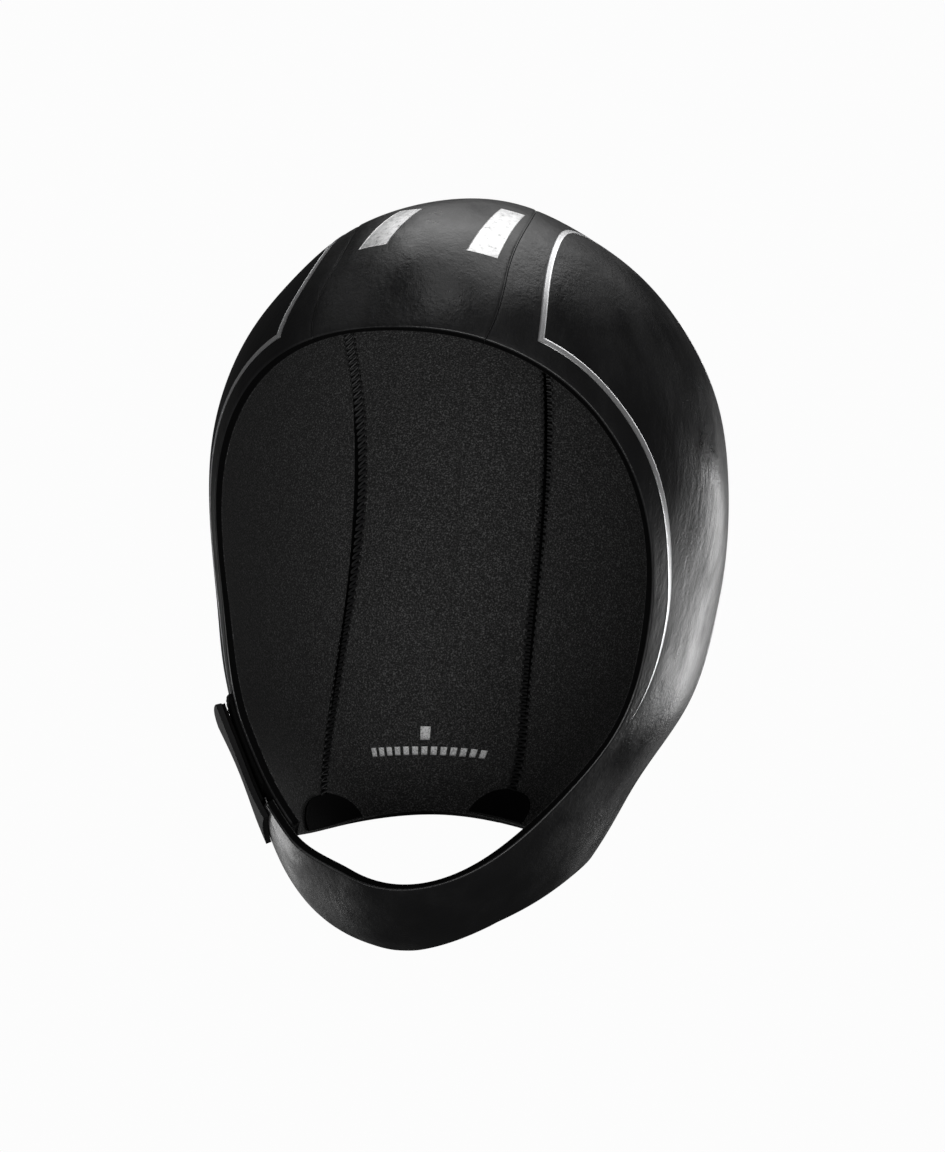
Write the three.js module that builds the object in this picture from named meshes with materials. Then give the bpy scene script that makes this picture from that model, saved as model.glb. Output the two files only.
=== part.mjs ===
import * as THREE from "three";

// Neoprene skull cap: three panels cut from one sheet thickness, open at the face and at the
// neck, closed under the chin by a strap. Millimetres and degrees, crown up, front towards -Y.

const sheet = 3;          // thickness of the neoprene
const room = 0.3;         // clear space between neighbouring pieces
const seat = new THREE.Vector3(7.3, -19.3, 125.4); // top of the lining, from the middle of the head
const formTilt = 20;      // the head form's axis leans back towards the neck opening
const faceTip = -11;      // the face opening looks this much below the horizon
const neckLean = 20;      // the neck opening looks this much behind straight down
const formStep = 22.5;
const edgeStep = 30;

// Distance from the middle of the head to the skin, one row for every formStep down its axis.
const headForm = [
  { front: 135.9, side: 135.9, back: 135.9 },
  { front: 122.2, side: 123.4, back: 124.7 },
  { front: 105.0, side: 105.7, back: 116.0 },
  { front: 84.1, side: 87.9, back: 107.7 },
  { front: 74.0, side: 78.5, back: 101.8 },
  { front: 79.0, side: 82.3, back: 101.5 },
  { front: 90.9, side: 81.4, back: 108.4 },
  { front: 112.0, side: 112.8, back: 113.6 },
  { front: 119.3, side: 119.3, back: 119.3 },
];

// Half angle of each opening, one row for every edgeStep round it: the face opening from the
// forehead to the chin, the neck opening from the nape to the throat.
const openings = [
  { face: 50.2, neck: 34.5 },
  { face: 55.8, neck: 31.6 },
  { face: 59.7, neck: 29.7 },
  { face: 62.2, neck: 32.7 },
  { face: 64.3, neck: 31.5 },
  { face: 59.9, neck: 24.2 },
  { face: 61.9, neck: 15.2 },
];

// Where the two long seams run, in degrees round from the crown line, from forehead to nape.
const seams = [
  { right: -20.0, left: 18.8 },
  { right: -13.0, left: 12.6 },
  { right: -11.3, left: 10.4 },
  { right: -15.8, left: 5.8 },
  { right: -19.1, left: 0.4 },
  { right: -14.6, left: 3.8 },
  { right: -25.1, left: 7.9 },
  { right: -62.6, left: 26.8 },
];

// The sheet is soft, so the worn form leans to one side by this much.
const lean = { y: -3.2, z: 8.8, yz: 7.6, xx: 4.2, yy: -7.3, zz: -0.8, xxz: -3.9, xxy: 2.2 };
const leanScale = new THREE.Vector3(85, 95, 115);

// Over the ear tab the strap stands out at its front edge, and the ear tab tucks in behind.
const strap = { end: 217, liftFrom: 192, liftTo: 207, frontLift: 4.4, rearLift: 0.4 };
const earTab = { end: -151, tuckFrom: -143, tuckTo: -124, clear: 0.5 };

// Closure tab from its sewn end on the strap to its free end: place round the head, distance of
// its front edge from the face edge, and clearance under its front edge and its rear edge.
const tabRows = [
  { at: -147, edge: 3.5, near: 4.6, far: 3.2 },
  { at: -142.5, edge: 3.5, near: 4.5, far: 3.1 },
  { at: -138, edge: 3.5, near: 4.2, far: 3.2 },
  { at: -129, edge: 3, near: 3.2, far: 3.0 },
  { at: -120, edge: 2, near: 3.3, far: 3.3 },
  { at: -112, edge: 2, near: 4.6, far: 4.6 },
];
const tab = { width: 18, thick: 1.8 };
const hook = { from: 0.26, to: 0.97, inset: 1, thick: 1 };
const loop = { from: -138, to: -113, edge: 1.5, width: 20, thick: 0.8, clear: 0.4 };
const napePatch = { left: 12, right: 16, height: 12, thick: 0.5, clear: 0.6 };

const steps = { centre: 8, left: 38, right: 22, along: 26 };

const radians = THREE.MathUtils.degToRad;
const across = { front: "back", back: "front" };

// Uniform cubic B-spline through one column of a table, carried on past both ends.
function column(rows, key, x) {
  const last = rows.length - 1;
  const at = Math.min(Math.max(x, 0), last - 1e-9);
  const i = Math.floor(at);
  const f = at - i;
  const other = across[key] ?? key;
  const value = (k) => {
    if (k < 0) return rows[1][other];
    if (k > last) return rows[last - 1][other];
    return rows[k][key];
  };
  const a = (1 - f) ** 3;
  const b = 3 * f ** 3 - 6 * f ** 2 + 4;
  const c = -3 * f ** 3 + 3 * f ** 2 + 3 * f + 1;
  return (a * value(i - 1) + b * value(i) + c * value(i + 1) + f ** 3 * value(i + 2)) / 6;
}

// Distance to the skin in a direction: front, side and back blended round the tilted axis.
function formRadius(d) {
  const c = Math.cos(radians(formTilt));
  const s = Math.sin(radians(formTilt));
  const y = d.y * c + d.z * s;
  const z = d.z * c - d.y * s;
  const down = THREE.MathUtils.radToDeg(Math.acos(THREE.MathUtils.clamp(z, -1, 1))) / formStep;
  const turn = y / (Math.hypot(d.x, y) + 1e-9);
  const front = column(headForm, "front", down) ** -2;
  const side = column(headForm, "side", down) ** -2;
  const back = column(headForm, "back", down) ** -2;
  const skew = (back - front) / 2;
  const round = (back + front) / 2 - side;
  return (side + skew * turn + round * turn * turn) ** -0.5;
}

// Direction of a point on an opening's edge, its clock measured from the given top.
function edgeDirection(axis, top, clock, spread) {
  const rim = top.clone().multiplyScalar(Math.cos(radians(clock)));
  rim.x += Math.sin(radians(clock));
  rim.multiplyScalar(Math.sin(radians(spread)));
  return rim.addScaledVector(axis, Math.cos(radians(spread)));
}

function faceDirection(clock) {
  const e = radians(faceTip);
  const axis = new THREE.Vector3(0, -Math.cos(e), Math.sin(e));
  const top = new THREE.Vector3(0, Math.sin(e), Math.cos(e));
  return edgeDirection(axis, top, clock, column(openings, "face", fold(clock) / edgeStep));
}

function neckDirection(clock) {
  const e = radians(neckLean);
  const axis = new THREE.Vector3(0, Math.sin(e), -Math.cos(e));
  const top = new THREE.Vector3(0, Math.cos(e), Math.sin(e));
  return edgeDirection(axis, top, clock, column(openings, "neck", fold(clock) / edgeStep));
}

function fold(clock) {
  return Math.abs(THREE.MathUtils.euclideanModulo(clock + 180, 360) - 180);
}

// Outer skin: clock goes round from the crown line over the ear to the chin, t goes from the
// face edge (0) to the neck edge (1).
function skin(clock, t) {
  const c = radians(clock);
  const bow = 1.25 * Math.cos(c) ** 2 + 0.9 * Math.sin(c) ** 2;
  const d = faceDirection(clock).multiplyScalar((1 - t) ** 2);
  d.addScaledVector(neckDirection(clock), t ** 2);
  d.addScaledVector(new THREE.Vector3(Math.sin(c), 0, Math.cos(c)), 2 * t * (1 - t) * bow);
  d.normalize();
  const p = d.multiplyScalar(formRadius(d));
  const x = p.x / leanScale.x;
  const y = p.y / leanScale.y;
  const z = p.z / leanScale.z;
  p.x += lean.y * y + lean.z * z + lean.yz * y * z + lean.yy * y * y + lean.zz * z * z;
  p.x += x * x * (lean.xx + lean.xxz * z + lean.xxy * y);
  return p;
}

// A point set off square to the skin, outward when the distance is positive.
function offset(clock, t, distance) {
  const step = 0.01;
  const down = skin(clock, t + step).sub(skin(clock, t - step));
  const round = skin(clock + 1, t).sub(skin(clock - 1, t));
  const out = round.cross(down).normalize();
  const p = skin(clock, t);
  if (out.dot(p) < 0) out.negate();
  return p.addScaledVector(out, distance).sub(seat);
}

// The t that lies a given distance from the face edge, or from the neck edge, along one clock.
function reach(clock, distance, fromNeck = false) {
  const count = 120;
  let walked = 0;
  let last = skin(clock, fromNeck ? 1 : 0);
  for (let i = 1; i <= count; i += 1) {
    const next = skin(clock, fromNeck ? 1 - i / count : i / count);
    const step = next.distanceTo(last);
    if (walked + step >= distance) {
      const t = (i - 1 + (distance - walked) / step) / count;
      return fromNeck ? 1 - t : t;
    }
    walked += step;
    last = next;
  }
  return fromNeck ? 0 : 1;
}

function seamClock(side, t) {
  return column(seams, side, t * (seams.length - 1));
}

// Half of the seam's clear space, as degrees of clock at this place.
function halfRoom(clock, t) {
  return room / 2 / (skin(clock + 0.5, t).distanceTo(skin(clock - 0.5, t)) + 1e-9);
}

// Closed wall between two sides. place(u, v) gives the outer and the inner point of the wall.
function wallGeometry(countU, countV, place) {
  const points = [];
  const faces = [];
  const half = (countU + 1) * (countV + 1);
  for (const side of ["outer", "inner"]) {
    for (let i = 0; i <= countU; i += 1) {
      for (let j = 0; j <= countV; j += 1) {
        points.push(...place(i / countU, j / countV)[side].toArray());
      }
    }
  }
  const id = (i, j, inner) => i * (countV + 1) + j + (inner ? half : 0);
  const quad = (a, b, c, d) => faces.push(a, b, c, a, c, d);
  for (let i = 0; i < countU; i += 1) {
    for (let j = 0; j < countV; j += 1) {
      quad(id(i, j), id(i + 1, j), id(i + 1, j + 1), id(i, j + 1));
      quad(id(i, j, true), id(i, j + 1, true), id(i + 1, j + 1, true), id(i + 1, j, true));
    }
    quad(id(i, 0), id(i, 0, true), id(i + 1, 0, true), id(i + 1, 0));
    quad(id(i, countV), id(i + 1, countV), id(i + 1, countV, true), id(i, countV, true));
  }
  for (let j = 0; j < countV; j += 1) {
    quad(id(0, j), id(0, j + 1), id(0, j + 1, true), id(0, j, true));
    quad(id(countU, j), id(countU, j, true), id(countU, j + 1, true), id(countU, j + 1));
  }
  const geometry = new THREE.BufferGeometry();
  geometry.setAttribute("position", new THREE.Float32BufferAttribute(points, 3));
  geometry.setIndex(signedVolume(points, faces) < 0 ? faces.reverse() : faces);
  geometry.computeVertexNormals();
  return geometry;
}

function signedVolume(points, faces) {
  let volume = 0;
  for (let i = 0; i < faces.length; i += 3) {
    const [a, b, c] = [0, 1, 2].map((k) => new THREE.Vector3().fromArray(points, faces[i + k] * 3));
    volume += a.dot(b.cross(c)) / 6;
  }
  return volume;
}

function centrePanel() {
  return wallGeometry(steps.centre, steps.along, (u, v) => {
    const right = seamClock("right", v);
    const left = seamClock("left", v);
    const from = right + halfRoom(right, v);
    const to = left - halfRoom(left, v);
    const clock = THREE.MathUtils.lerp(from, to, u);
    return { outer: offset(clock, v, 0), inner: offset(clock, v, -sheet) };
  });
}

// How far the strap's outer face stands off the skin where it passes over the ear tab.
function strapLift(clock, t) {
  const rise = THREE.MathUtils.smoothstep(clock, strap.liftFrom, strap.liftTo);
  return rise * THREE.MathUtils.lerp(strap.frontLift, strap.rearLift, t);
}

// Wearer's left panel, running on as the chin strap and crossing the other panel's ear tab.
function leftSidePanel() {
  return wallGeometry(steps.left, steps.along, (u, v) => {
    const seam = seamClock("left", v);
    const clock = THREE.MathUtils.lerp(seam + halfRoom(seam, v), strap.end, u);
    const lift = strapLift(clock, v);
    return { outer: offset(clock, v, lift), inner: offset(clock, v, lift - sheet) };
  });
}

// The right panel follows the inner face of the strap over its ear tab.
function earTabLift(clock, t) {
  const tuck = 1 - THREE.MathUtils.smoothstep(clock, earTab.tuckFrom, earTab.tuckTo);
  const under = THREE.MathUtils.lerp(strap.frontLift, strap.rearLift, t) - sheet - earTab.clear;
  return tuck * under;
}

function rightSidePanel() {
  return wallGeometry(steps.right, steps.along, (u, v) => {
    const seam = seamClock("right", v);
    const clock = THREE.MathUtils.lerp(earTab.end, seam - halfRoom(seam, v), u);
    const lift = earTabLift(clock, v);
    return { outer: offset(clock, v, lift), inner: offset(clock, v, lift - sheet) };
  });
}

// A place on the closure tab: u along it, v across it from its front edge.
function tabPlace(u, v, inset) {
  const x = u * (tabRows.length - 1);
  const over = inset / tab.width + v * (1 - (2 * inset) / tab.width);
  const clock = column(tabRows, "at", x);
  const t = reach(clock, column(tabRows, "edge", x) + over * tab.width);
  const lift = THREE.MathUtils.lerp(column(tabRows, "near", x), column(tabRows, "far", x), over);
  return { clock, t, lift };
}

function closureTab() {
  return wallGeometry(18, 4, (u, v) => {
    const { clock, t, lift } = tabPlace(u, v, 0);
    return { outer: offset(clock, t, lift + tab.thick), inner: offset(clock, t, lift) };
  });
}

function hookPatch() {
  return wallGeometry(12, 4, (u, v) => {
    const { clock, t, lift } = tabPlace(THREE.MathUtils.lerp(hook.from, hook.to, u), v, hook.inset);
    const top = lift - room;
    return { outer: offset(clock, t, top), inner: offset(clock, t, top - hook.thick) };
  });
}

function loopPatch() {
  return wallGeometry(10, 5, (u, v) => {
    const clock = THREE.MathUtils.lerp(loop.from, loop.to, u);
    const t = reach(clock, loop.edge + v * loop.width);
    const low = loop.clear + Math.max(earTabLift(clock, t), 0);
    return { outer: offset(clock, t, low + loop.thick), inner: offset(clock, t, low) };
  });
}

// Half-round patch on the lining over the lower end of one seam.
function napePatchAt(side) {
  const middle = seamClock(side, 1);
  const degree = skin(middle + 0.5, 1).distanceTo(skin(middle - 0.5, 1));
  return wallGeometry(8, 5, (u, v) => {
    const up = 0.5 + v * (napePatch.height - 0.5);
    const half = napePatch[side] * Math.sqrt(1 - (0.96 * v) ** 2);
    const clock = middle + ((2 * u - 1) * half) / degree;
    const t = reach(clock, up, true);
    const top = -sheet - napePatch.clear;
    return { outer: offset(clock, t, top), inner: offset(clock, t, top - napePatch.thick) };
  });
}

const neoprene = new THREE.MeshStandardMaterial({ color: 0x17181a, roughness: 0.62 });
const tabCloth = new THREE.MeshStandardMaterial({ color: 0x1c1d1f, roughness: 0.8 });
const hookCloth = new THREE.MeshStandardMaterial({ color: 0x0f1011, roughness: 0.95 });
const patchCloth = new THREE.MeshStandardMaterial({ color: 0x141516, roughness: 0.85 });

const cap = new THREE.Group();
cap.name = "skull_cap";

function addPiece(name, geometry, material) {
  const piece = new THREE.Mesh(geometry, material);
  piece.name = name;
  cap.add(piece);
}

addPiece("centre_panel", centrePanel(), neoprene);
addPiece("left_side_panel", leftSidePanel(), neoprene);
addPiece("right_side_panel", rightSidePanel(), neoprene);
addPiece("closure_tab", closureTab(), tabCloth);
addPiece("hook_patch", hookPatch(), hookCloth);
addPiece("loop_patch", loopPatch(), hookCloth);
addPiece("left_nape_patch", napePatchAt("left"), patchCloth);
addPiece("right_nape_patch", napePatchAt("right"), patchCloth);

export default cap;
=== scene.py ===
import math

import bpy
import numpy as np
from mathutils import Matrix


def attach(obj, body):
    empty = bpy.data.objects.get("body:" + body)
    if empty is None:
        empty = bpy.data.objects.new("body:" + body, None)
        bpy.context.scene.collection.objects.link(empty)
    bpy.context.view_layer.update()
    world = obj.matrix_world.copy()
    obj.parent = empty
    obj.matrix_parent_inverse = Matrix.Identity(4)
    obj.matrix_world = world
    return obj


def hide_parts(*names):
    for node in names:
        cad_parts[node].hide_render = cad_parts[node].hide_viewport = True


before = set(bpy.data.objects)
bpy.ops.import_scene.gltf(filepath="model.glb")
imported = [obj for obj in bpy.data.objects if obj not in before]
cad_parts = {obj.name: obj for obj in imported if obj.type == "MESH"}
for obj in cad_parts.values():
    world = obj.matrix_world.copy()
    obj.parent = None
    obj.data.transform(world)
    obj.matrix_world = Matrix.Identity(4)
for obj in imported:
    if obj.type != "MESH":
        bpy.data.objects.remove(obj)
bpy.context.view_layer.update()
print("frame loaded")


# Head form, in millimetres from the middle of the head, front towards -Y

headForm = {
    "seat": (7.3, -19.3, 125.4),   # top of the lining, the frame's origin
    "tilt": 20, "faceTip": -11, "neckLean": 20,   # degrees
    "formStep": 22.5, "edgeStep": 30,
    # distance to the skin down the axis: in front, at the side, behind
    "form": [(135.9, 135.9, 135.9), (122.2, 123.4, 124.7), (105.0, 105.7, 116.0),
             (84.1, 87.9, 107.7), (74.0, 78.5, 101.8), (79.0, 82.3, 101.5),
             (90.9, 81.4, 108.4), (112.0, 112.8, 113.6), (119.3, 119.3, 119.3)],
    "face": [50.2, 55.8, 59.7, 62.2, 64.3, 59.9, 61.9],   # half angle of the face opening
    "neck": [34.5, 31.6, 29.7, 32.7, 31.5, 24.2, 15.2],   # half angle of the neck opening
    "rightSeam": [-20.0, -13.0, -11.3, -15.8, -19.1, -14.6, -25.1, -62.6],
    "leftSeam": [18.8, 12.6, 10.4, 5.8, 0.4, 3.8, 7.9, 26.8],
    "lean": {"y": -3.2, "z": 8.8, "yz": 7.6, "xx": 4.2, "yy": -7.3, "zz": -0.8,
             "xxz": -3.9, "xxy": 2.2},
    "leanScale": (85, 95, 115),
    "bow": (1.25, 0.9),   # how far a clock line bulges over the crown and over the side
}
sheetThick = 3.0
mm = 0.001
reachSteps = 161          # samples along a clock line when a distance is walked


def splineRows(rows, x, ends="back"):
    # uniform cubic B-spline through a column of rows. Past an end it goes back through the next
    # row, with front and back swapped at a "pole"; "open" runs straight on through the end
    table = np.asarray(rows, float)
    if table.ndim == 1:
        table = table[:, None]
    before, after = table[1:2], table[-2:-1]
    if ends == "pole":
        before, after = before[:, ::-1], after[:, ::-1]
    if ends == "open":
        before, after = 2 * table[:1] - before, 2 * table[-1:] - after
    padded = np.concatenate([before, table, after])
    x = np.clip(x, 0, len(table) - 1 - 1e-9)
    i = np.floor(x).astype(int)
    f = (x - i)[..., None]
    out = ((1 - f) ** 3 * padded[i] + (3 * f ** 3 - 6 * f ** 2 + 4) * padded[i + 1]
           + (-3 * f ** 3 + 3 * f ** 2 + 3 * f + 1) * padded[i + 2] + f ** 3 * padded[i + 3]) / 6
    return out if out.shape[-1] > 1 else out[..., 0]


def unitRows(v):
    return v / np.linalg.norm(v, axis=-1, keepdims=True)


def smooth(x, low, high):
    u = np.clip((x - low) / (high - low), 0, 1)
    return u * u * (3 - 2 * u)


def formRadius(d):
    # front, side and back distances blended round the tilted axis, as the inverse square root
    # of a quadratic in the cosine of the turn
    tilt = math.radians(headForm["tilt"])
    y = d[..., 1] * math.cos(tilt) + d[..., 2] * math.sin(tilt)
    z = d[..., 2] * math.cos(tilt) - d[..., 1] * math.sin(tilt)
    down = np.degrees(np.arccos(np.clip(z, -1, 1))) / headForm["formStep"]
    turn = y / (np.hypot(d[..., 0], y) + 1e-9)
    q = splineRows(headForm["form"], down, "pole") ** -2.0
    front, side, back = q[..., 0], q[..., 1], q[..., 2]
    return (side + (back - front) / 2 * turn + ((back + front) / 2 - side) * turn ** 2) ** -0.5


def edgeDirection(clock, name, axis, top):
    # a direction on an opening's edge: its half angle off the axis, at this clock from the top
    fold = np.abs((clock + 180) % 360 - 180)
    spread = np.radians(splineRows(headForm[name], fold / headForm["edgeStep"]))
    k = np.radians(clock)
    rim = np.cos(k)[..., None] * top + np.sin(k)[..., None] * np.array([1.0, 0, 0])
    return np.cos(spread)[..., None] * axis + np.sin(spread)[..., None] * rim


def skin(clock, t):
    # outer skin: a quadratic run of directions from the face edge (t 0) over the head to the
    # neck edge (t 1) at each clock, pushed out to the head form and leaned to one side
    clock, t = np.broadcast_arrays(np.asarray(clock, float), np.asarray(t, float))
    e, n = math.radians(headForm["faceTip"]), math.radians(headForm["neckLean"])
    c = np.radians(clock)
    face = edgeDirection(clock, "face", np.array([0, -math.cos(e), math.sin(e)]),
                         np.array([0, math.sin(e), math.cos(e)]))
    neck = edgeDirection(clock, "neck", np.array([0, math.sin(n), -math.cos(n)]),
                         np.array([0, math.cos(n), math.sin(n)]))
    over = np.stack([np.sin(c), 0 * c, np.cos(c)], -1)
    crown, sides = headForm["bow"]
    bow = (crown * np.cos(c) ** 2 + sides * np.sin(c) ** 2)[..., None]
    w = t[..., None]
    d = unitRows((1 - w) ** 2 * face + w ** 2 * neck + 2 * w * (1 - w) * bow * over)
    p = d * formRadius(d)[..., None]
    x, y, z = [p[..., i] / headForm["leanScale"][i] for i in range(3)]
    g = headForm["lean"]
    p[..., 0] += (g["y"] * y + g["z"] * z + g["yz"] * y * z + g["yy"] * y * y + g["zz"] * z * z
                  + x * x * (g["xx"] + g["xxz"] * z + g["xxy"] * y))
    return p


def outward(clock, t):
    # unit normal of the skin, from differences along the two parameters
    down = skin(clock, t + 0.01) - skin(clock, t - 0.01)
    around = skin(clock + 1, t) - skin(clock - 1, t)
    n = unitRows(np.cross(around, down))
    return n * np.sign((n * skin(clock, t)).sum(-1, keepdims=True))


def offset(clock, t, distance):
    # a point set off square to the skin, in the frame's metres
    clock, t, distance = np.broadcast_arrays(*[np.asarray(a, float) for a in (clock, t, distance)])
    p = skin(clock, t) + outward(clock, t) * distance[..., None]
    return (p - np.array(headForm["seat"])) * mm


def reach(clock, distance, fromNeck=False):
    # the t at a distance along one clock line from the face edge or from the neck edge
    clock, distance = np.broadcast_arrays(np.asarray(clock, float), np.asarray(distance, float))
    steps = np.linspace(1, 0, reachSteps) if fromNeck else np.linspace(0, 1, reachSteps)
    line = skin(clock[..., None], steps)
    walked = np.concatenate([np.zeros(clock.shape + (1,)),
                             np.cumsum(np.linalg.norm(np.diff(line, axis=-2), axis=-1), -1)], -1)
    k = np.clip((walked < distance[..., None]).sum(-1), 1, reachSteps - 1)
    a = np.take_along_axis(walked, (k - 1)[..., None], -1)[..., 0]
    b = np.take_along_axis(walked, k[..., None], -1)[..., 0]
    f = np.clip((distance - a) / (b - a + 1e-9), 0, 1)
    return steps[k - 1] + f * (steps[k] - steps[k - 1])


def perDegree(clock, t):
    # millimetres along the skin for one degree of clock
    return np.linalg.norm(skin(clock + 0.5, t) - skin(clock - 0.5, t), axis=-1) + 1e-6


def perT(clock, t):
    # millimetres along the skin for the whole of t at this place
    return np.linalg.norm(skin(clock, t + 0.005) - skin(clock, t - 0.005), axis=-1) * 100


def seamClock(side, t):
    return splineRows(headForm[side], np.asarray(t, float) * (len(headForm[side]) - 1))


# Arrays into meshes

def gridQuads(rows, cols, closed=False):
    # vertex numbers of the quads of a rows by cols grid, its columns joined round if closed
    i = np.arange(rows - 1)[:, None]
    j = np.arange(cols if closed else cols - 1)[None, :]
    k = (j + 1) % cols
    a, b, c, d = i * cols + j, (i + 1) * cols + j, (i + 1) * cols + k, i * cols + k
    return np.stack(np.broadcast_arrays(a, b, c, d), -1).reshape(-1, 4)


def linkMesh(name, points, faces, materials, slots=None):
    # points and faces into a smooth mesh object at the origin
    mesh = bpy.data.meshes.new(name)
    mesh.from_pydata(points.tolist(), [], faces)
    for look in materials:
        mesh.materials.append(look)
    if slots is not None:
        mesh.polygons.foreach_set("material_index", np.asarray(slots, np.int32))
    mesh.polygons.foreach_set("use_smooth", np.ones(len(faces), bool))
    mesh.update()
    obj = bpy.data.objects.new(name, mesh)
    bpy.context.scene.collection.objects.link(obj)
    return obj


def newMesh(name, points, quads, materials, slots=None, caps=()):
    # closed form of quads and, in caps, triangles; its faces are turned round if the volume
    # that they bound comes out negative
    caps = np.asarray(caps, int).reshape(-1, 3)
    tri = np.concatenate([quads[:, [0, 1, 2]], quads[:, [0, 2, 3]], caps])
    p = points.reshape(-1, 3)
    fromMiddle = p - p.mean(0)
    a, b, c = [fromMiddle[tri[:, corner]] for corner in range(3)]
    if (a * np.cross(b, c)).sum() < 0:
        quads, caps = quads[:, ::-1], caps[:, ::-1]
    return linkMesh(name, p, quads.tolist() + caps.tolist(), materials, slots)


def plateArrays(top, under):
    # closed plate between two grids of points: both faces, and a band round their border
    rows, cols = top.shape[:2]
    n = rows * cols
    quads = gridQuads(rows, cols)
    ring = np.concatenate([np.arange(cols), np.arange(1, rows) * cols + cols - 1,
                           (rows - 1) * cols + np.arange(cols - 2, -1, -1),
                           np.arange(rows - 2, 0, -1) * cols])
    band = np.stack([ring, np.roll(ring, -1), np.roll(ring, -1) + n, ring + n], -1)
    points = np.concatenate([top.reshape(-1, 3), under.reshape(-1, 3)])
    return points, np.concatenate([quads, quads[:, ::-1] + n, band[:, ::-1]])


def joinArrays(parts):
    # several closed forms as one list of points and quads
    start = np.cumsum([0] + [len(points) for points, quads in parts])
    return (np.concatenate([points for points, quads in parts]),
            np.concatenate([quads + s for (points, quads), s in zip(parts, start)]))


def finishPiece(obj, slotName, *nodes):
    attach(obj, "root")
    if nodes:
        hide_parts(*nodes)
    print("made", obj.name, len(obj.data.polygons))
    return obj


# Materials

socketNames = {
    "colour": "Base Color", "roughness": "Roughness", "specular": "Specular IOR Level",
    "sheen": "Sheen Weight", "sheenRoughness": "Sheen Roughness", "metal": "Metallic",
    "glowColour": "Emission Color", "glow": "Emission Strength",
}


def newMaterial(name, **values):
    look = bpy.data.materials.new(name)
    look.use_nodes = True
    shader = look.node_tree.nodes["Principled BSDF"]
    for key, value in values.items():
        socket = shader.inputs[socketNames[key]]
        socket.default_value = (*value, 1) if isinstance(value, tuple) else value
    return look


def addNode(look, kind, links=None, **values):
    # one node with its settings, inputs by name, and links from other nodes' outputs
    node = look.node_tree.nodes.new(kind)
    for key, value in values.items():
        if key in node.inputs:
            node.inputs[key].default_value = value
        else:
            setattr(node, key, value)
    for key, output in (links or {}).items():
        look.node_tree.links.new(output, node.inputs[key])
    return node


def objectNoise(look, scale, detail=3.0, roughness=0.5, stretch=(1, 1, 1)):
    coords = addNode(look, "ShaderNodeTexCoord")
    spread = addNode(look, "ShaderNodeMapping", {"Vector": coords.outputs["Object"]})
    spread.inputs["Scale"].default_value = stretch
    return addNode(look, "ShaderNodeTexNoise", {"Vector": spread.outputs["Vector"]},
                   Scale=scale, Detail=detail, Roughness=roughness)


def greyRamp(look, source, stops):
    # neutral grey by the noise value, one stop for each pair
    ramp = addNode(look, "ShaderNodeValToRGB", {"Fac": source.outputs["Fac"]})
    elements = ramp.color_ramp.elements
    for (place, value), element in zip((stops[0], stops[-1]), (elements[0], elements[1])):
        element.position, element.color = place, (value, value, value, 1)
    for place, value in stops[1:-1]:
        elements.new(place).color = (value, value, value, 1)
    return ramp.outputs["Color"]


def wireTo(look, output, socket):
    shader = look.node_tree.nodes["Principled BSDF"]
    look.node_tree.links.new(output, shader.inputs[socketNames.get(socket, socket)])


def addBump(look, source, strength, distance, under=None):
    links = {"Height": source.outputs["Fac"]}
    if under is not None:
        links["Normal"] = under.outputs["Normal"]
    bump = addNode(look, "ShaderNodeBump", links, Strength=strength, Distance=distance)
    wireTo(look, bump.outputs["Normal"], "Normal")
    return bump


# smooth satin face of the neoprene: cloudy gloss, soft marks and a very fine pebble
skinLook = newMaterial("neopreneSkin", colour=(0.010, 0.010, 0.0105), specular=0.5)
cloud = objectNoise(skinLook, scale=34, detail=5, roughness=0.62, stretch=(1, 1, 0.45))
gloss = [(0.34, 0.27), (0.50, 0.41), (0.66, 0.63)]
wireTo(skinLook, greyRamp(skinLook, cloud, gloss), "roughness")
rubbed = objectNoise(skinLook, scale=62, detail=5, roughness=0.62, stretch=(1, 1, 0.4))
softMarks = addBump(skinLook, rubbed, strength=0.38, distance=0.0015)
pebble = objectNoise(skinLook, scale=950, detail=2, roughness=0.65)
addBump(skinLook, pebble, strength=0.28, distance=0.0003, under=softMarks)

# knit lining with light flecks
liningLook = newMaterial("liningKnit", roughness=0.92, specular=0.12, sheen=0.05, sheenRoughness=0.6)
fleck = objectNoise(liningLook, scale=1800, detail=2, roughness=0.75)
knitGreys = [(0.40, 0.016), (0.54, 0.038), (0.68, 0.135)]
wireTo(liningLook, greyRamp(liningLook, fleck, knitGreys), "colour")
addBump(liningLook, fleck, strength=0.35, distance=0.0004)


def blackCloth(name, grey, roughness, specular, grain):
    # near-black finish with a fine grain: its noise scale, detail, roughness, strength, distance
    look = newMaterial(name, colour=grey, roughness=roughness, specular=specular)
    scale, detail, noiseRoughness, strength, distance = grain
    addBump(look, objectNoise(look, scale, detail, noiseRoughness), strength, distance)
    return look


# cut edge of the foam, woven strip, hook pile, patch cloth, seam thread
foamLook = blackCloth("foamEdge", (0.002, 0.002, 0.0021), 0.9, 0.08, (1600, 2, 0.7, 0.25, 0.0003))
tabLook = blackCloth("tabWebbing", (0.006, 0.006, 0.0063), 0.75, 0.25, (1500, 2, 0.6, 0.35, 0.0003))
hookLook = blackCloth("hookPile", (0.003, 0.003, 0.003), 0.95, 0.1, (2200, 1, 0.6, 0.8, 0.0006))
patchLook = blackCloth("patchCloth", (0.0045, 0.0045, 0.0047), 0.95, 0.06,
                       (1500, 2, 0.6, 0.3, 0.0003))
threadLook = blackCloth("blackThread", (0.014, 0.014, 0.0145), 0.5, 0.5, (2400, 2, 0.6, 0.3, 0.0002))
# near-black band along the seams inside: part seam tape, part painted shade of the seam
seamTapeAndShadeLook = newMaterial("seamTapeAndShade", colour=(0.003, 0.003, 0.003), roughness=0.95, specular=0.08)

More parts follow.
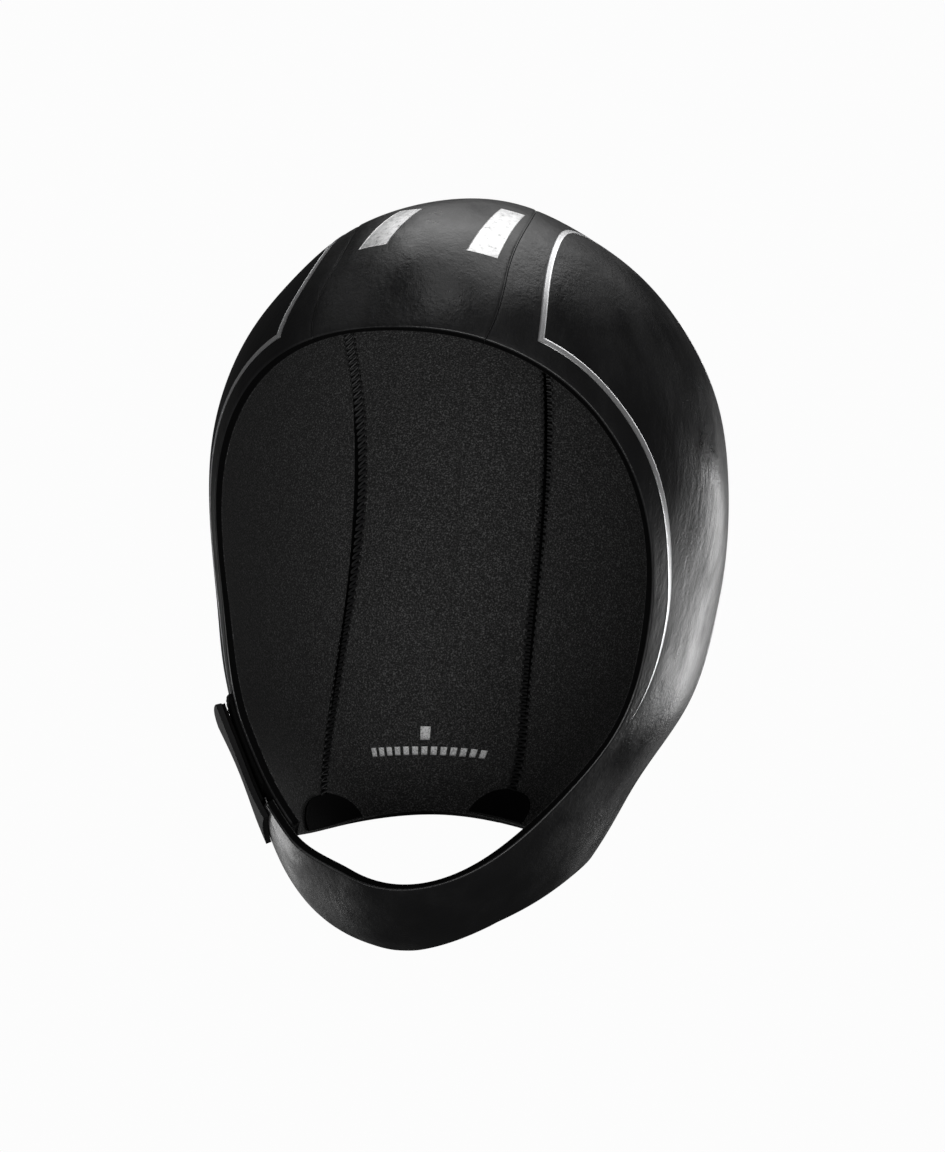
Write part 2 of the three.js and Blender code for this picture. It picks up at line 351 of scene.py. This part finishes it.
# silver film: even on the stripes, finely crackled on the crown, and grey ink inside
silverLook = newMaterial("silverFilm", colour=(0.93, 0.93, 0.94), roughness=0.42, specular=0.4,
                         metal=0.85)
crackleLook = newMaterial("crackledFilm", roughness=0.45, specular=0.4, metal=0.7)
crackle = objectNoise(crackleLook, scale=520, detail=4, roughness=0.7)
crackleGreys = [(0.30, 0.40), (0.42, 0.78), (0.60, 0.97)]
wireTo(crackleLook, greyRamp(crackleLook, crackle, crackleGreys), "colour")
inkLook = newMaterial("greyInk", roughness=0.8, specular=0.2)
speckle = objectNoise(inkLook, scale=1900, detail=2, roughness=0.7)
wireTo(inkLook, greyRamp(inkLook, speckle, [(0.36, 0.45), (0.55, 0.95)]), "colour")
print("materials ready")


# Panels: one sheet with a satin skin, a foam edge and a knit lining

panel = {
    "skinRound": 0.6, "liningRound": 0.35,   # corner radii of the cut edge
    "rimGap": 0.9,                           # the main run starts this far from the cut edge
    "seamDip": 0.10, "seamWidth": 0.55,      # how the skin turns down into a seam
    "seamRoom": 0.05,
    "proud": 0.12,                           # the centre panel stands this much higher
    "along": 150, "cornerSteps": 5,
    "columns": {"centre": 48, "left": 170, "right": 104},
    "near": [0.0, 0.3, 0.65, 1.05, 1.6, 2.4, 3.6],   # columns beside a seam
}
strap = {"end": 217, "liftFrom": 192, "liftTo": 207, "frontLift": 4.4, "rearLift": 0.4}
earTab = {"end": -151, "tuckFrom": -143, "tuckTo": -124, "clear": 0.5}
dents = {
    # height of each, lengths that divide the place, bend and phases of the waves
    "broad": 0.5, "broadLengths": (13, 17, 15, 21), "bend": 0.9,
    "fine": 0.22, "fineLengths": (8.3, 19, 9, 12), "phases": (1.3, 0.4),
}


def strapLift(clock, t):
    # the strap stands out at its front edge where it crosses the ear tab
    rise = smooth(clock, strap["liftFrom"], strap["liftTo"])
    return rise * (strap["frontLift"] + (strap["rearLift"] - strap["frontLift"]) * t)


def earTabLift(clock, t):
    # the right panel follows the strap's inner face over its ear tab
    tuck = 1 - smooth(clock, earTab["tuckFrom"], earTab["tuckTo"])
    under = strap["frontLift"] + (strap["rearLift"] - strap["frontLift"]) * t
    return tuck * (under - sheetThick - earTab["clear"])


def ripple(clock, t):
    # slack of the soft sheet: products of sines of the place, a broad one and a finer one
    p = skin(clock, t)
    x, y, z = p[..., 0], p[..., 1], p[..., 2]
    a, b, c, d = dents["broadLengths"]
    broad = np.sin(x / a + dents["bend"] * np.sin(z / b)) * np.sin(z / c + y / d)
    a, b, c, d = dents["fineLengths"]
    first, second = dents["phases"]
    fine = np.sin(y / a + z / b + first) * np.sin(x / c - z / d + second)
    return dents["broad"] * broad + dents["fine"] * fine


def skinHeight(clock, t, onCentre):
    # height of the dressed skin over the plain form: slack, the proud centre panel, and a bell
    # shaped dip at each seam
    proud = np.where(onCentre, panel["proud"], 0.0)
    dip = np.zeros_like(t)
    for seam in ("rightSeam", "leftSeam"):
        away = np.abs(clock - seamClock(seam, t)) * perDegree(clock, t)
        dip = np.maximum(dip, (panel["seamDip"] + proud) * np.exp(-(away / panel["seamWidth"]) ** 2))
    return ripple(clock, t) + proud - dip


def sheetSection():
    # closed loop of the sheet's section: skin run, face edge, lining run, neck edge. Each point
    # has its t, its distance in from an edge (or -1 in a run), its depth and the next finish
    run = np.linspace(0, 1, panel["along"] + 1)[1:-1]
    turn = np.linspace(0, np.pi / 2, panel["cornerSteps"] + 1)
    a, b = panel["skinRound"], panel["liningRound"]
    outer = [(a - a * math.sin(k), a - a * math.cos(k)) for k in turn]
    flat = [(0.0, a + (sheetThick - a - b) * f) for f in (0.35, 0.7)]
    inner = [(b - b * math.cos(k), sheetThick - b + b * math.sin(k)) for k in turn]
    edge = outer + flat + inner
    finish = [0] * (len(outer) - 1) + [1] * (len(flat) + 1) + [2] * len(inner)
    back = [2] * (len(inner) - 1) + [1] * (len(flat) + 1) + [0] * len(outer)
    rows = [(1 - x, -1, 0.0, 0) for x in run]
    rows += [(0, gap, depth, f) for (gap, depth), f in zip(edge, finish)]
    rows += [(x, -1, sheetThick, 2) for x in run]
    rows += [(1, gap, depth, f) for (gap, depth), f in zip(edge[::-1], back)]
    return [np.array(column, float) for column in zip(*rows)]


def wallPanel(name, clockOf, liftOf, count, onCentre=False):
    # the section loop carried from one side of the panel to the other: clockOf gives the clock
    # of each column at each t, liftOf the height of the skin, and both sides are covered
    share, gap, depth, finish = sheetSection()
    u = np.arange(count)[:, None]
    clock = clockOf(u, share[None, :], count)
    atFace = perT(clock, np.full_like(clock, 0.005))
    atNeck = perT(clock, np.full_like(clock, 0.995))
    low, high = panel["rimGap"] / atFace, 1 - panel["rimGap"] / atNeck
    t = np.where(gap < 0, low + (high - low) * share,
                 np.where(share == 0, gap / atFace, 1 - gap / atNeck))
    clock = clockOf(u, t, count)
    top = 1 - depth[None, :] / sheetThick
    height = skinHeight(clock, t, onCentre)
    points = offset(clock, t, liftOf(clock, t) + height * top - depth[None, :])
    n = len(share)
    first = np.arange(n // 2 - 1)
    cover = np.stack([first, first + 1, n - 2 - first, n - 1 - first], -1)
    quads = np.concatenate([gridQuads(count, n, closed=True), cover[:, ::-1], cover + (count - 1) * n])
    slots = np.concatenate([np.tile(finish, count - 1), np.ones(2 * len(cover))])
    return newMesh(name, points, quads, [skinLook, foamLook, liningLook], slots)


def besideSeam(side, sign, u, t):
    # clock of the columns packed next to a seam, by their distance from it
    near = np.array(panel["near"])
    seam = seamClock(side, t)
    away = near[np.clip(u, 0, len(near) - 1)] + panel["seamRoom"]
    return seam + sign * away / perDegree(seam, t)


def sideClock(side, sign, endClock):
    # columns packed at the seam, then even steps to the panel's other end
    def clockOf(u, t, count):
        u, t = np.broadcast_arrays(u, t)
        start = besideSeam(side, sign, u, t)
        share = np.clip((u - len(panel["near"]) + 1) / (count - len(panel["near"])), 0, 1)
        return start + (endClock - start) * share
    return clockOf


def centreClock(u, t, count):
    # columns packed at both seams, even steps between
    u, t = np.broadcast_arrays(u, t)
    n = len(panel["near"])
    right = besideSeam("rightSeam", 1, u, t)
    left = besideSeam("leftSeam", -1, count - 1 - u, t)
    share = np.clip((u - n + 1) / (count - 2 * n + 1), 0, 1)
    return right + (left - right) * share


def noLift(clock, t):
    return 0 * t


columns = panel["columns"]
finishPiece(wallPanel("centrePanel", centreClock, noLift, columns["centre"], True),
            "neoprene", "centre_panel")
finishPiece(wallPanel("leftSidePanel", sideClock("leftSeam", 1, strap["end"]), strapLift,
                      columns["left"]),
            "neoprene", "left_side_panel")
finishPiece(wallPanel("rightSidePanel", sideClock("rightSeam", -1, earTab["end"]), earTabLift,
                      columns["right"]),
            "neoprene", "right_side_panel")
print("panels done")


# Closure at the right ear: tab, hook pile under it, loop pile on the ear tab

tab = {
    # place round the head, distance of the front edge from the face edge, clearance under the
    # front edge and under the rear edge
    "rows": [(-147, 3.5, 4.6, 3.2), (-142.5, 3.5, 4.5, 3.1), (-138, 3.5, 4.2, 3.2),
             (-129, 3, 3.2, 3.0), (-120, 2, 3.3, 3.3), (-112, 2, 4.6, 4.6)],
    "width": 18, "thick": 1.8, "round": 0.5, "grid": (60, 24),
}
hook = {"from": 0.26, "to": 0.97, "inset": 1, "thick": 1.0, "round": 0.2, "grid": (40, 20)}
loop = {"from": -138, "to": -113, "edge": 1.5, "width": 20, "thick": 0.8, "clear": 0.4,
        "round": 0.2, "grid": (36, 24)}
clearance = 0.3


def unitGrid(counts):
    # u down the rows and v along them, each from 0 to 1
    return np.meshgrid(*[np.linspace(0, 1, count) for count in counts], indexing="ij")


def plate(name, place, piece, look):
    # closed flat piece: place(u, v) gives clock, t and the height of its underside
    clock, t, low = place(*unitGrid(piece["grid"]))
    top = offset(clock, t, low + piece["thick"])
    obj = newMesh(name, *plateArrays(top, offset(clock, t, low)), [look])
    bevel = obj.modifiers.new("softEdge", "BEVEL")
    bevel.width, bevel.segments, bevel.limit_method = piece["round"] * mm, 3, "ANGLE"
    bevel.angle_limit = math.radians(50)
    return obj


def tabPlace(inset, start=0.0, end=1.0):
    # u runs along the tab's splined rows, v across its width
    def place(u, v):
        row = splineRows(tab["rows"], (start + (end - start) * u) * (len(tab["rows"]) - 1))
        over = inset / tab["width"] + v * (1 - 2 * inset / tab["width"])
        t = reach(row[..., 0], row[..., 1] + over * tab["width"])
        return row[..., 0], t, row[..., 2] + (row[..., 3] - row[..., 2]) * over
    return place


def hookPlace(u, v):
    clock, t, low = tabPlace(hook["inset"], hook["from"], hook["to"])(u, v)
    return clock, t, low - clearance - hook["thick"]


def loopPlace(u, v):
    clock = loop["from"] + (loop["to"] - loop["from"]) * u
    t = reach(clock, loop["edge"] + v * loop["width"])
    return clock, t, loop["clear"] + np.maximum(earTabLift(clock, t), 0)


finishPiece(plate("closureTab", tabPlace(0), tab, tabLook), "tab_cloth", "closure_tab")
finishPiece(plate("hookPatch", hookPlace, hook, hookLook), "hook_cloth", "hook_patch")
finishPiece(plate("loopPatch", loopPlace, loop, hookLook), "hook_cloth", "loop_patch")


# Nape patches: half-round cloth over the lower end of each seam, inside

napePatch = {
    "left": 12, "right": 16, "height": 12,   # half width of each, height of both
    "flatTop": 0.96,                         # the disc is cut off this far up its radius
    "thick": 0.5, "clear": 0.35, "edge": 0.6, "round": 0.15, "grid": (36, 20),
}


def napePlace(side):
    # a half disc: its width falls as the square root of one less the height squared
    def place(u, v):
        middle = seamClock(side + "Seam", 1.0)
        half = napePatch[side] * np.sqrt(1 - (napePatch["flatTop"] * v) ** 2)
        clock = middle + (2 * u - 1) * half / perDegree(middle, np.array(1.0))
        up = napePatch["edge"] + v * (napePatch["height"] - napePatch["edge"])
        t = reach(clock, up, fromNeck=True)
        return clock, t, 0 * clock - sheetThick - napePatch["clear"] - napePatch["thick"]
    return place


for side in ("left", "right"):
    finishPiece(plate(side + "NapePatch", napePlace(side), napePatch, patchLook),
                "patch_cloth", side + "_nape_patch")
print("closure and nape patches done")


# Lines that lie on the skin or on the lining, their undersides sunk a little way in

film = {"inSkin": 0.08, "inLining": 0.05}


def ribbonGrid(clock, t, width, across):
    # places across a line: each row runs square to the line, along the mitre at a corner, and is
    # turned into clock and t through the skin's two tangents
    p = skin(clock, t)
    step = unitRows(np.diff(p, axis=0))
    before, after = np.concatenate([step[:1], step]), np.concatenate([step, step[-1:]])
    middle = unitRows(before + after)
    mitre = np.maximum((middle * after).sum(-1, keepdims=True), 0.5)
    square = np.cross(outward(clock, t), middle) / mitre
    around = skin(clock + 0.5, t) - skin(clock - 0.5, t)
    down = (skin(clock, t + 0.005) - skin(clock, t - 0.005)) * 100
    basis = np.stack([around, down], -1)
    gram = np.einsum("nij,nik->njk", basis, basis)
    move = np.linalg.solve(gram, np.einsum("nij,ni->nj", basis, square)[..., None])[..., 0]
    v = np.linspace(-0.5, 0.5, across) * np.broadcast_to(width, clock.shape)[:, None]
    return clock[:, None] + move[:, :1] * v, t[:, None] + move[:, 1:] * v


def skinFilm(clock, t, height, onCentre=False):
    # thin closed film on the dressed skin
    base = skinHeight(clock, t, onCentre)
    return plateArrays(offset(clock, t, base + height), offset(clock, t, base - film["inSkin"]))


def liningFilm(clock, t, height):
    # thin closed film on the lining, its height one number or a grid of them
    return plateArrays(offset(clock, t, -sheetThick - height),
                       offset(clock, t, film["inLining"] - sheetThick))


stripe = {
    "width": 2.0, "height": 0.09, "steps": 260, "across": 5, "mitre": 1.4,
    "upTaper": 0.45, "rimTaper": 0.5, "tip": 0.06,
    # clock and distance from the face edge: over the crown, and down beside the rim
    "leftUp": [(24.6, 8.0), (20.1, 25), (16.7, 42), (14.4, 57), (13.2, 68), (12.9, 79), (15.5, 88),
               (22, 96), (32, 100), (44, 97), (56, 90), (68, 79), (80, 66)],
    "leftRim": [(24.6, 8.0), (32, 9.0), (45, 9.1), (59, 8.4), (74, 8.4), (82, 9.0), (90, 8.2),
                (104, 5.9), (115, 3.6)],
    "rightUp": [(-25.2, 7.2), (-22.5, 17), (-19.2, 29), (-16.4, 43), (-15.2, 57), (-14.8, 68),
                (-15.0, 79), (-17.5, 88), (-24, 96), (-34, 100), (-46, 97), (-58, 90), (-70, 79),
                (-82, 66)],
    "rightRim": [(-25.2, 7.2), (-32, 7.6), (-45, 8.6), (-59, 8.4), (-74, 8.4), (-82, 9.0),
                 (-90, 8.2), (-104, 5.9), (-115, 3.6)],
}


def stripeFilm(side):
    # down the crown line, round a mitred corner and along the rim; it narrows to a point at both
    # ends, and points too near the corner are left out
    rows = [stripe[side + "Up"][::-1], stripe[side + "Rim"]]
    count = stripe["steps"]
    up, rim = [splineRows(r, np.linspace(0, len(r) - 1, count), "open") for r in rows]
    line = np.concatenate([up, rim[1:]])
    clock, t = line[:, 0], reach(line[:, 0], line[:, 1])
    share = np.linspace(0, 1, count)
    width = np.concatenate([np.clip(share / stripe["upTaper"], stripe["tip"], 1),
                            np.clip((1 - share[1:]) / stripe["rimTaper"], stripe["tip"], 1)])
    p = skin(clock, t)
    keep = np.linalg.norm(p - p[count - 1], axis=-1) > stripe["mitre"]
    keep[count - 1] = True
    ribbon = ribbonGrid(clock[keep], t[keep], stripe["width"] * width[keep], stripe["across"])
    return newMesh(side + "Stripe", *skinFilm(*ribbon, stripe["height"]), [silverLook])


for side in ("left", "right"):
    finishPiece(stripeFilm(side), "neoprene")

# plain slanted bars on the crown
crownBars = {
    # clock and distance from the face edge at the lower end and at the upper end
    "ends": [((-7.8, 34), (-4.8, 58)), ((8.8, 33), (7.0, 66))],
    "width": (9.8, 7.8), "height": 0.09, "grid": (50, 20),
}


def crownBar(ends):
    # straight in clock and distance between its two ends, square across
    (c0, d0), (c1, d1) = ends
    u, v = unitGrid(crownBars["grid"])
    clock, distance = c0 + (c1 - c0) * u, d0 + (d1 - d0) * u
    t = reach(clock, distance)
    low, high = crownBars["width"]
    clock = clock + (v - 0.5) * (low + (high - low) * u) / perDegree(clock, t)
    return skinFilm(clock, reach(clock, distance), crownBars["height"], True)


bars = joinArrays([crownBar(ends) for ends in crownBars["ends"]])
finishPiece(newMesh("crownBars", *bars, [crackleLook]), "neoprene")

# plain marks inside the nape: a small block over a row of ticks
innerMarks = {
    "clock": -6.4, "height": 0.06, "grid": (7, 5),
    "block": {"up": 27.8, "wide": 3.6, "high": 5.0},
    "ticks": {"up": 22.1, "wide": 2.2, "high": 3.2, "count": 13, "step": 3.45},
}


def innerMark(across, mark):
    # a small rectangle, millimetres across from the middle line and up from the nape edge
    u, v = unitGrid(innerMarks["grid"])
    middle = np.array(innerMarks["clock"])
    scale = perDegree(middle, reach(middle, mark["up"], fromNeck=True))
    clock = middle + (across + (u - 0.5) * mark["wide"]) / scale
    t = reach(clock, mark["up"] + v * mark["high"], fromNeck=True)
    return liningFilm(clock, t, innerMarks["height"])


def blockAndTicks():
    # the block on the middle line, and the ticks at even steps to both sides of it
    ticks = innerMarks["ticks"]
    places = (np.arange(ticks["count"]) - (ticks["count"] - 1) / 2) * ticks["step"]
    return [innerMark(0, innerMarks["block"])] + [innerMark(across, ticks) for across in places]


finishPiece(newMesh("innerMarks", *joinArrays(blockAndTicks()), [inkLook]), "neoprene")
print("stripes and marks done")


# Blind stitching inside: a near-black band along each seam, part seam tape and part painted shade of
# the seam, with a zigzag of thread, and a crease in the lining

stitch = {
    "pitch": 2.6, "half": 2.2,                       # length of one swing, reach to each side
    "thread": 0.44, "sides": 6, "samples": 10,       # radius, ring points, rings to a swing
    "height": 0.18, "arch": 0.2, "fullness": 0.25,   # rise, more of it mid swing, rounding
    "from": 0.006, "to": 0.985, "walkSteps": 4000,
    "band": 3.2, "bandHeight": 0.12, "bandStep": 1.0, "bandAcross": 7,
}
crease = {
    "places": [(-5.9, 0.50), (-5.5, 0.675), (-4.9, 0.739), (-4.2, 0.786), (-4.0, 0.852),
               (-3.8, 0.905)],                       # clock and t
    "width": 1.6, "height": 0.7, "steps": 160, "across": 9,
}


def tubeAlong(path, radius, sides):
    # round tube: a ring of points about each path point, square to the path
    tangent = unitRows(np.gradient(path, axis=0))
    across = unitRows(np.cross(tangent, np.roll(tangent, 1, axis=1) + [0.1, 0.2, 0.3]))
    up = np.cross(tangent, across)
    a = np.linspace(0, 2 * np.pi, sides, endpoint=False)
    ring = np.cos(a)[None, :, None] * across[:, None] + np.sin(a)[None, :, None] * up[:, None]
    return path[:, None] + radius * ring


def seamLine(side, spacing):
    # places down a seam at even distances, and the distance walked
    t = np.linspace(stitch["from"], stitch["to"], stitch["walkSteps"])
    line = skin(seamClock(side, t), t)
    walked = np.concatenate([[0], np.cumsum(np.linalg.norm(np.diff(line, axis=0), axis=1))])
    d = np.arange(0, walked[-1], spacing)
    return d, np.interp(d, walked, t)


def seamStitches(name, side):
    # thread that swings from side to side of the seam as a rounded zigzag of the distance walked,
    # highest in the middle of each swing, with a fan of triangles over each end of the tube
    d, t = seamLine(side, stitch["pitch"] / stitch["samples"])
    swing = np.sin(2 * np.pi * d / stitch["pitch"])
    swing = swing * (1 + stitch["fullness"] - stitch["fullness"] * swing ** 2)
    seam = seamClock(side, t)
    rise = stitch["height"] + stitch["arch"] * (1 - swing ** 2)
    path = offset(seam + swing * stitch["half"] / perDegree(seam, t), t, -sheetThick - rise)
    rings = tubeAlong(path, stitch["thread"] * mm, stitch["sides"])
    points = np.concatenate([rings.reshape(-1, 3), rings[:1].mean(1), rings[-1:].mean(1)])
    k = np.arange(stitch["sides"])
    following = (k + 1) % stitch["sides"]
    tip = len(points) - 2
    lastRing = tip - stitch["sides"]
    caps = np.concatenate([
        np.stack([0 * k + tip, k, following], -1),
        np.stack([0 * k + tip + 1, lastRing + following, lastRing + k], -1)])
    quads = gridQuads(*rings.shape[:2], closed=True)
    return newMesh(name, points, quads, [threadLook], caps=caps)


def seamBand(name, side):
    # flat near-black band along the seam: part seam tape, part painted shade of the seam
    d, t = seamLine(side, stitch["bandStep"])
    ribbon = ribbonGrid(seamClock(side, t), t, stitch["band"], stitch["bandAcross"])
    return newMesh(name, *liningFilm(*ribbon, stitch["bandHeight"]), [seamTapeAndShadeLook])


def liningCrease():
    # low ridge: half a sine wave, squared across it and as its square root along it
    rows, steps = crease["places"], crease["steps"]
    line = splineRows(rows, np.linspace(0, len(rows) - 1, steps), "open")
    along = np.sin(np.linspace(0, np.pi, steps))[:, None] ** 0.5
    across = np.sin(np.linspace(0, np.pi, crease["across"]))[None, :] ** 2
    ribbon = ribbonGrid(line[:, 0], line[:, 1], crease["width"], crease["across"])
    return newMesh("liningCrease", *liningFilm(*ribbon, crease["height"] * along * across),
                   [liningLook])


for side in ("left", "right"):
    finishPiece(seamBand(side + "SeamBand", side + "Seam"), "tab_cloth")
    finishPiece(seamStitches(side + "SeamStitches", side + "Seam"), "tab_cloth")
finishPiece(liningCrease(), "neoprene")
print("seams and crease done")


# Floor, light and camera

stage = {"floorZ": -0.75, "radius": 5.5, "hub": 0.055, "rings": 12, "around": 96,
         "grey": 0.86, "glow": 0.7}


def roundFloor():
    # a disc of rings: radius by angle, closed in the middle
    radii = np.linspace(stage["hub"], stage["radius"], stage["rings"])
    turns = np.linspace(0, 2 * np.pi, stage["around"], endpoint=False)
    rho, a = np.meshgrid(radii, turns, indexing="ij")
    points = np.stack([rho * np.cos(a), rho * np.sin(a), 0 * a + stage["floorZ"]], -1)
    faces = gridQuads(*rho.shape, closed=True).tolist() + [list(range(stage["around"]))]
    look = newMaterial("paleFloor", colour=(stage["grey"],) * 3, roughness=0.9, specular=0.1,
                       glowColour=(1, 1, 1), glow=stage["glow"])
    floor = linkMesh("paleFloor", points.reshape(-1, 3), faces, [look])
    floor.visible_diffuse = floor.visible_glossy = False   # the dark cap takes no glare from it


room = {"seen": 0.975, "light": 0.02}


def paleRoom():
    # white behind the object, nearly dark as a light source
    world = bpy.data.worlds.new("paleRoom")
    bpy.context.scene.world = world
    world.use_nodes = True
    nodes, links = world.node_tree.nodes, world.node_tree.links
    ray, level = nodes.new("ShaderNodeLightPath"), nodes.new("ShaderNodeMath")
    level.operation = "MULTIPLY_ADD"
    level.inputs[1].default_value = room["seen"] - room["light"]
    level.inputs[2].default_value = room["light"]
    links.new(ray.outputs["Is Camera Ray"], level.inputs[0])
    links.new(level.outputs[0], nodes["Background"].inputs["Strength"])
    nodes["Background"].inputs["Color"].default_value = (1, 1, 1, 1)


lights = {
    "overhead": {"place": (0.0, 0.12, 0.85), "size": (0.8, 0.6), "watts": 3.2},
    "crownBehind": {"place": (0.05, 0.45, 0.75), "size": (0.9, 0.6), "watts": 1.2},
    "brow": {"place": (-0.02, -0.47, 0.85), "size": (0.3, 0.22), "watts": 0.35},
    "rightBehind": {"place": (0.60, 0.90, -0.16), "size": (0.3, 0.5), "watts": 3.0},
    "rightLow": {"place": (0.84, 0.58, -0.42), "size": (0.2, 0.25), "watts": 1.3},
    "leftBehind": {"place": (-0.75, 0.40, -0.55), "size": (0.4, 0.4), "watts": 3},
    "frontRight": {"place": (0.75, -1.30, 0.45), "size": (0.8, 0.8), "watts": 1.2},
    "frontLow": {"place": (0.30, -1.28, -0.54), "size": (1.0, 0.3), "watts": 10},
}
lightAim = (0.0, 0.0, -0.12)


def lookMatrix(place, right, up, back):
    m = Matrix.Identity(4)
    for i in range(3):
        m[i][0], m[i][1], m[i][2], m[i][3] = right[i], up[i], back[i], place[i]
    return m


def softLights():
    # each panel light faces the aim point
    for name, light in lights.items():
        data = bpy.data.lights.new(name, "AREA")
        data.shape, data.energy = "RECTANGLE", light["watts"]
        data.size, data.size_y = light["size"]
        lamp = bpy.data.objects.new(name, data)
        bpy.context.scene.collection.objects.link(lamp)
        back = unitRows(np.array(light["place"]) - np.array(lightAim))
        right = unitRows(np.cross([0, 0.001, 1], back))
        lamp.matrix_world = lookMatrix(light["place"], right, np.cross(back, right), back)
        lamp.visible_camera = False


camera = {
    "azimuth": 12.118, "elevation": -5.175, "roll": 3.145, "distance": 1200.0,
    "aim": (6.66, 0.0, 9.72), "pixels": 3694.4, "frameWidth": 945, "sensor": 36,
}


def placeCamera():
    # back is the direction from the aim to the camera; right and up turn with the roll
    a, e, r = [math.radians(camera[k]) for k in ("azimuth", "elevation", "roll")]
    back = np.array([math.sin(a) * math.cos(e), -math.cos(a) * math.cos(e), math.sin(e)])
    level = np.array([math.cos(a), math.sin(a), 0])
    right = level * math.cos(r) + np.cross(back, level) * math.sin(r)
    place = (np.array(camera["aim"]) + camera["distance"] * back - np.array(headForm["seat"])) * mm
    data = bpy.data.cameras.new("photoCamera")
    data.sensor_fit, data.sensor_width = "HORIZONTAL", camera["sensor"]
    data.lens = camera["pixels"] * camera["sensor"] / camera["frameWidth"]
    data.clip_start, data.clip_end = 0.05, 20
    cam = bpy.data.objects.new("photoCamera", data)
    bpy.context.scene.collection.objects.link(cam)
    cam.matrix_world = lookMatrix(place, right, np.cross(back, right), back)
    bpy.context.scene.camera = cam


roundFloor()
paleRoom()
softLights()
placeCamera()
bpy.context.scene.view_settings.view_transform = "Standard"
print("stage ready")
